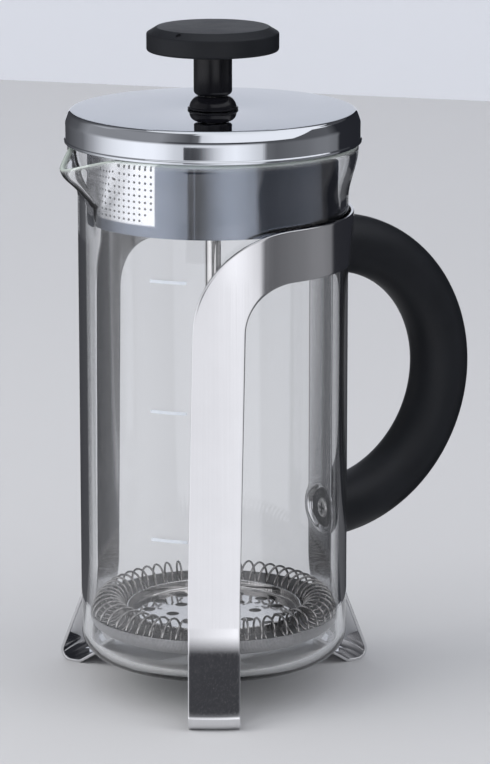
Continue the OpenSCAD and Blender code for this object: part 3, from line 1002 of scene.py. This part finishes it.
def make_lid_steel():
    """Mirror-bright steel, drawn with fine upright lines round the skirt."""
    out = Finish("lid_steel", Metallic=1.0)
    lines = out.noise(out.polar(0.012, 30), 3.0)
    skirt = out.spread(out.axes()["Z"], 1.0, 0.0, (LID_HI.z - 3.2) * MM, (LID_HI.z - 2.6) * MM)
    cloud = out.clouds(18)
    out.drive("Base Color", out.between(out.spread(cloud, 0, 1), (0.61, 0.635, 0.67), (0.64, 0.665, 0.70)))
    fine = out.maths("MULTIPLY", lines, skirt)
    rough = out.maths("ADD", out.spread(cloud, 0.01, 0.02), out.maths("MULTIPLY", fine, 0.06))
    out.drive("Roughness", rough)
    out.bump(fine, 0.5, 0.004)
    return out.mat


def make_sleeve_steel():
    """Steel with a dark bluish base colour, painted shade that stands in for the dark surroundings it
    mirrors, but for a brighter, rougher patch over the holes behind the spout, and a weld line.
    """
    out = Finish("sleeve_steel", Metallic=1.0)
    x, y, z = out.axes()
    half = HOLE_PITCH / SLEEVE_R * PATCH_COLUMNS / 2
    off = out.maths("ABSOLUTE", out.maths("ARCTAN2", y, out.maths("MULTIPLY", x, -1)))
    beside = out.spread(off, 1, 0, half, half + 0.012)
    above = out.spread(z, 0, 1, (PATCH_Z - 0.5) * MM, PATCH_Z * MM)
    patch = out.maths("MULTIPLY", beside, above)
    seam_off = out.maths("ABSOLUTE", out.maths("ADD", out.maths("ARCTAN2", y, x), -SEAM_AZIMUTH))
    seam = out.spread(seam_off, 1, 0, 0.0, 0.006)
    lines = out.noise(out.polar(0.012, 25), 3.0)
    # painted shade: the base colour is made dark and bluish to stand in for the dark surroundings this
    # steel mirrors
    dark = out.between(out.spread(out.clouds(14), 0, 1), (0.175, 0.20, 0.245), (0.21, 0.235, 0.285))
    out.drive("Base Color", out.between(patch, dark, (0.86, 0.87, 0.89)))
    rough = out.maths("ADD", out.spread(lines, 0.05, 0.12), out.maths("MULTIPLY", patch, 0.16))
    out.drive("Roughness", rough)
    out.bump(lines, 0.5, 0.006)
    out.bump(seam, 0.6, 0.02)
    return out.mat


def plastic(name, colour, roughness, grain, depth):
    """Moulded black plastic with a fine texture and slightly uneven gloss."""
    out = Finish(name, IOR=1.45, Specular_IOR_Level=0.3)
    fine = out.noise(out.stretch(grain, grain, grain))
    cloud = out.clouds(9)
    light = tuple(c * 1.25 for c in colour)
    out.drive("Base Color", out.between(out.spread(cloud, 0, 1), colour, light))
    out.drive("Roughness", out.maths("ADD", out.spread(cloud, *roughness), out.spread(fine, 0.0, 0.04)))
    out.bump(fine, 0.6, depth)
    return out.mat


def make_woven():
    """Fine woven wire screen."""
    out = Finish("woven_steel", Metallic=1.0)
    x, y, z = out.axes(out.polar(0.012, 0.4))
    along = out.maths("ADD", y, z)
    strands = []
    for slant in ("ADD", "SUBTRACT"):
        strands.append(out.maths("SINE", out.maths("MULTIPLY", out.maths(slant, x, along), pi)))
    grain = out.noise(out.stretch(0.8, 0.8, 0.8), 3.0)
    level = out.maths("ADD", out.maths("MULTIPLY", *strands), out.maths("MULTIPLY", grain, 1.6))
    tone = out.spread(level, 0, 1, -0.6, 2.0)
    out.drive("Base Color", out.between(tone, (0.17, 0.17, 0.175), (0.74, 0.735, 0.75)))
    out.drive("Roughness", out.spread(grain, 0.32, 0.5))
    out.bump(level, 0.8, 0.08)
    return out.mat


def make_marks():
    """Worn pale print."""
    out = Finish("marks")
    worn = out.noise(out.stretch(0.9, 0.9, 0.9), 4.0, 0.7)
    out.drive("Base Color", out.between(out.spread(worn, 0, 1), (0.58, 0.62, 0.68), (0.70, 0.73, 0.77)))
    out.drive("Roughness", out.spread(worn, 0.45, 0.65))
    out.bump(worn, 0.3, 0.02)
    return out.mat


def make_brass():
    """Knurled brass."""
    out = Finish("insert_brass", Metallic=1.0)
    knurl = out.noise(out.stretch(4, 0.35, 0.35))
    out.drive("Base Color", out.between(out.spread(knurl, 0, 1), (0.60, 0.43, 0.18), (0.80, 0.62, 0.31)))
    out.drive("Roughness", out.spread(knurl, 0.25, 0.42))
    out.bump(knurl, 0.6, 0.1)
    return out.mat


POLISHED = metal("polished_steel", (0.755, 0.755, 0.765), (0.02, 0.13), (0.30, 0.30, 60), 0.004)
LID_STEEL = make_lid_steel()
SLEEVE_PAINTED_DARK_STEEL = make_sleeve_steel()
FINE_STEEL = metal("fine_steel", (0.70, 0.69, 0.68), (0.03, 0.08), (0.3, 0.3, 3), 0.004)
# painted shade: this steel is given a darker colour to stand in for the darker surroundings the coil
# mirrors inside the glass
WIRE_PAINTED_DARK = metal("wire_painted_dark_steel", (0.42, 0.41, 0.40), (0.04, 0.12), (0.5, 0.5, 0.5), 0.006)
WOVEN = make_woven()
GLASS = make_glass()
MARKS = make_marks()
MATT_BLACK = plastic("matt_black", (0.008, 0.009, 0.0115), (0.42, 0.5), 0.35, 0.03)
GLOSS_BLACK = plastic("gloss_black", (0.006, 0.006, 0.008), (0.12, 0.18), 0.6, 0.004)
BRASS = make_brass()


# -------- the object, body by body

def keep(node, material):
    """Keeps a CAD node and gives it a better material."""
    obj = bpy.data.objects[node]
    for mat_slot in obj.material_slots:
        mat_slot.material = material


piece(make_frame(), "frame", "polished_steel", POLISHED, "frame_sheet")
piece(make_grip(), "frame", "matt_black", MATT_BLACK, "handle_grip")
for screw_index, screw_z in enumerate(SCREW_ZS):
    piece(make_screw(screw_index, screw_z), "frame", "fine_steel", FINE_STEEL, "handle_screws")
keep("handle_inserts", BRASS)

piece(make_beaker(), "beaker", "glass", GLASS, "beaker")
keep("fill_marks", MARKS)

piece(make_bush(), "lid_core", "gloss_black", GLOSS_BLACK, "lid_bush")
keep("lid_bush_nut", GLOSS_BLACK)
piece(make_lid(), "lid", "lid_steel", LID_STEEL, "lid_cover")
piece(make_sleeve(), "lid", "sleeve_steel", SLEEVE_PAINTED_DARK_STEEL, "strainer_sleeve")

piece(make_rod(), "plunger", "fine_steel", FINE_STEEL, "plunger_rod")
piece(make_knob(), "plunger", "matt_black", MATT_BLACK, "knob_disc")
piece(make_stem(), "plunger", "gloss_black", GLOSS_BLACK, "knob_stem")
keep("knob_insert", BRASS)

piece(make_hub(), "filter", "fine_steel", FINE_STEEL, "filter_hub")
piece(make_plate(), "filter", "fine_steel", FINE_STEEL, "perforated_plate")
piece(make_coil(), "filter", "fine_steel", WIRE_PAINTED_DARK, "coil_spring")
piece(make_cup(), "filter", "woven_steel", WOVEN, "mesh_screen")
piece(make_cross(), "filter", "fine_steel", FINE_STEEL, "cross_plate")
piece(make_nut(), "filter", "fine_steel", FINE_STEEL, "filter_nut")


# -------- studio

CAMERA_AZIMUTH = -120.0
CAMERA_REACH = 0.9025
CAMERA_HEIGHT = 0.2969
CAMERA_PITCH = 13.45
CAMERA_YAW = 0.522
CAMERA_LENS = 167.4
WALL_REACH = 1.03
WALL_SLANT = 0.3
WALL_H = 2.5
FLOOR_HALF = 5.0
AIM_HEIGHT = 0.09


def around(azimuth, reach, height):
    """Point at an azimuth in degrees to the right of the camera's, seen from the object's axis."""
    turn = radians(CAMERA_AZIMUTH + azimuth)
    return Vector((reach * cos(turn), reach * sin(turn), height))


def make_camera():
    """Camera at the photograph's viewing angle."""
    data = bpy.data.cameras.new("camera")
    data.lens = CAMERA_LENS
    data.sensor_width = 36
    data.clip_start = 0.05
    data.clip_end = 20
    camera = placed("camera", data)
    camera.location = around(0, CAMERA_REACH, CAMERA_HEIGHT)
    heading = radians(CAMERA_AZIMUTH + 180 - CAMERA_YAW - 90)
    camera.rotation_euler = (radians(90 - CAMERA_PITCH), 0, heading)
    bpy.context.scene.camera = camera


def backdrop_with_painted_shade(name, low, high, size, one_sided=False):
    """Matt paper, slightly uneven, whose colour changes with height from the low to the high colour as
    painted shade; its back may be left clear.
    """
    out = Finish(name)
    cloud = out.noise(out.stretch(size, size, size), 3.0)
    # painted shade: the colour shifts with height, from 0.16 to 0.42 m, to stand in for light falling off
    # upwards
    rise = out.spread(out.axes()["Z"], 0, 0.96, 0.16, 0.42)
    out.drive("Base Color", out.between(out.maths("ADD", rise, out.spread(cloud, 0, 0.04)), low, high))
    out.drive("Roughness", out.spread(cloud, 0.75, 0.9))
    if one_sided:
        side = out.add("NewGeometry").outputs["Backfacing"]
        out.mix_surface(side, out.shader.outputs["BSDF"], out.clear())
    return out.mat


def make_sweep():
    """Pale floor and wall; a view from behind the wall sees the object through it."""
    side = around(90, FLOOR_HALF, 0)
    near = around(0, FLOOR_HALF, 0)
    back = around(180, WALL_REACH, 0)
    slant = around(0, WALL_SLANT * FLOOR_HALF, 0)
    left, right = back - side - slant, back + side + slant
    up = Vector((0, 0, WALL_H))
    floor = new_object("floor", [near - side, near + side, side - near, -near - side], [(0, 1, 2, 3)])
    wall = new_object("wall", [left, right, right + up, left + up], [(0, 1, 2, 3)])
    paper = backdrop_with_painted_shade("floor", (0.495, 0.495, 0.505), (0.42, 0.42, 0.43), 300)
    floor.data.materials.append(paper)
    # painted shade: the wall's colour darkens from its foot to its top
    paper = backdrop_with_painted_shade("wall", (0.65, 0.665, 0.71), (0.53, 0.55, 0.60), 400, True)
    wall.data.materials.append(paper)


def panel_material(name, for_edges):
    """A one-sided glow that mirrors see, or else the edges of the glass; other rays pass through it."""
    out = Finish(name)
    out.nodes.remove(out.shader)
    tone = out.add("Attribute")
    tone.attribute_name = "level"
    glow = out.add("Emission", Color=tone.outputs["Color"]).outputs["Emission"]
    path = out.add("LightPath").outputs
    if for_edges:
        seen = out.maths("COMPARE", path["Transmission Depth"], 2.0, 0.6)
    else:
        seen = out.maths("GREATER_THAN", path["Glossy Depth"], 0.5)
    side = out.add("NewGeometry").outputs["Backfacing"]
    out.mix_surface(out.maths("MULTIPLY", side, seen), out.clear(), glow)
    return out.mat


def tone_at(stops, azimuth):
    """Brightness at an azimuth, between the nearest stops."""
    for (a, low), (b, high) in zip(stops, stops[1:]):
        if a <= azimuth <= b:
            return low + (high - low) * (azimuth - a) / (b - a)
    return stops[-1][1]


def make_panel(name, material, reach, heights, low_stops, high_stops):
    """A curved panel round the object; stops of azimuth and level light its lower and upper edge."""
    first, last = low_stops[0][0], low_stops[-1][0]
    count = ceil((last - first) / PANEL_STEP)
    spots = [first + (last - first) * k / count for k in range(count + 1)]
    verts = [around(a, r, z) for a in spots for r, z in zip(reach, heights)]
    faces = [(2 * k, 2 * k + 2, 2 * k + 3, 2 * k + 1) for k in range(count)]
    mesh = bpy.data.meshes.new(name)
    mesh.from_pydata(verts, [], faces)
    tones = mesh.color_attributes.new("level", "FLOAT_COLOR", "POINT")
    for k, azimuth in enumerate(spots):
        for spot, stops in ((2 * k, low_stops), (2 * k + 1, high_stops)):
            level = tone_at(stops, azimuth)
            tones.data[spot].color = (level * 0.98, level * 0.985 + 0.001, level * 1.03 + 0.006, 1)
    panel = placed(name, mesh)
    mesh.materials.append(material)
    panel.visible_camera = False
    panel.visible_diffuse = False
    panel.visible_shadow = False


PANEL_STEP = 0.75
LEFT_TONES = (
    (-166, 0.06), (-150, 0.08), (-134, 0.14), (-118, 0.22), (-104, 0.54), (-92, 0.92), (-82, 1.15),
    (-72, 1.29))
RIGHT_TONES = (
    (49, 0.153), (66, 0.20), (76, 0.22), (86, 0.26), (97, 0.27), (109, 0.22), (113, 0.03), (166, 0.02))
FLOOR_TONES = LEFT_TONES + (
    (-60, 1.35), (-42, 1.15), (-30, 1.0), (0, 1.03), (22, 1.1), (37, 0.95), (40, 0.16)) + RIGHT_TONES
LOW_TONES = LEFT_TONES + (
    (-60, 1.40), (-46, 1.37), (-37, 1.22), (-29, 0.95), (-22, 0.85), (9, 1.20), (17, 1.32), (25, 1.18),
    (33, 0.97), (37, 0.88), (41, 0.2)) + RIGHT_TONES
MIDDLE_TONES = (
    (-166, 0.05), (-150, 0.07), (-129, 0.12), (-113, 0.36), (-88, 0.36), (-42, 0.36), (-34, 0.13),
    (-24, 0.06), (24, 0.06), (34, 0.10), (100, 0.14), (112, 0.03), (166, 0.02))
UPPER_TONES = (
    (-166, 0.06), (-150, 0.08), (-129, 0.15), (-113, 0.48), (-100, 0.58), (-88, 0.37), (-42, 0.37),
    (-34, 0.26), (-18, 0.12), (-12, 0.2), (-9, 0.95), (2, 1.2), (13, 1.25), (104, 1.25), (108, 0.4),
    (116, 0.10), (166, 0.06))
TOP_TONES = (
    (-166, 0.06), (-129, 0.15), (-100, 0.5), (-88, 0.30), (-42, 0.30), (-22, 0.12), (-18, 0.2),
    (-15, 0.95), (2, 1.2), (130, 1.25), (136, 0.2), (166, 0.08))
NOTCH_TONES = (
    (-22, 0.085), (-14, 0.085), (-10, 0.14), (-6, 0.37), (1.5, 0.85), (9, 1.20))
RING = 0.70
PANELS = (
    ("near_floor", (0.09, 0.58), (0.001, 0.001), FLOOR_TONES, FLOOR_TONES),
    ("far_floor", (0.58, RING), (0.001, 0.001), LOW_TONES, LOW_TONES),
    ("notch", (0.40, 0.695), (0.045, 0.045), NOTCH_TONES, NOTCH_TONES),
    ("low_ring", (RING, RING), (0.001, 0.09), LOW_TONES, LOW_TONES),
    ("rise_ring", (RING, RING), (0.09, 0.30), LOW_TONES, MIDDLE_TONES),
    ("middle_ring", (RING, RING), (0.30, 0.45), MIDDLE_TONES, MIDDLE_TONES),
    ("upper_ring", (RING, RING), (0.45, 0.70), UPPER_TONES, UPPER_TONES),
    ("top_ring", (RING, RING), (0.70, 1.50), TOP_TONES, TOP_TONES),
)
EDGE_REACH = 0.35
EDGE_TONES = {
    "right": ((130, 0.12), (179, 0.12)),
    "left": ((-179, 0.045), (-130, 0.045)),
}
EDGE_PANELS = (
    ("edge_floor", (0.06, EDGE_REACH), (0.0015, 0.0015)),
    ("edge_ring", (EDGE_REACH, EDGE_REACH), (0.0015, 0.054)),
)


def make_light(name, azimuth, elevation, reach, size, power, colour=(1, 1, 1)):
    """A soft lamp aimed at the object, which doesn't show in mirrors or glass."""
    turn = radians(elevation)
    data = bpy.data.lights.new(name, "AREA")
    data.energy = power
    data.size = size
    data.color = colour
    light = placed(name, data)
    light.location = around(azimuth, reach * cos(turn), AIM_HEIGHT + reach * sin(turn))
    light.rotation_euler = (light.location - Vector((0, 0, AIM_HEIGHT))).to_track_quat("Z", "Y").to_euler()
    light.visible_glossy = False
    light.visible_transmission = False


def make_world():
    """Plain pale light from all round."""
    world = bpy.data.worlds.new("studio")
    world.use_nodes = True
    back = world.node_tree.nodes["Background"]
    back.inputs["Color"].default_value = (0.95, 0.965, 1.0, 1)
    back.inputs["Strength"].default_value = 1.13
    bpy.context.scene.world = world


make_camera()
make_world()
make_sweep()
mirrored = panel_material("panel", False)
for panel_name, *panel_facts in PANELS:
    make_panel(panel_name, mirrored, *panel_facts)
edge_glow = panel_material("edge_panel", True)
for side_name, edge_stops in EDGE_TONES.items():
    for panel_name, panel_reach, panel_heights in EDGE_PANELS:
        whole_name = panel_name + "_" + side_name
        make_panel(whole_name, edge_glow, panel_reach, panel_heights, edge_stops, edge_stops)
make_light("key", -75, 42, 1.6, 1.1, 13, (1.0, 0.99, 0.97))
make_light("fill", 70, 35, 1.8, 1.2, 7)
bpy.context.scene.view_settings.view_transform = "Standard"
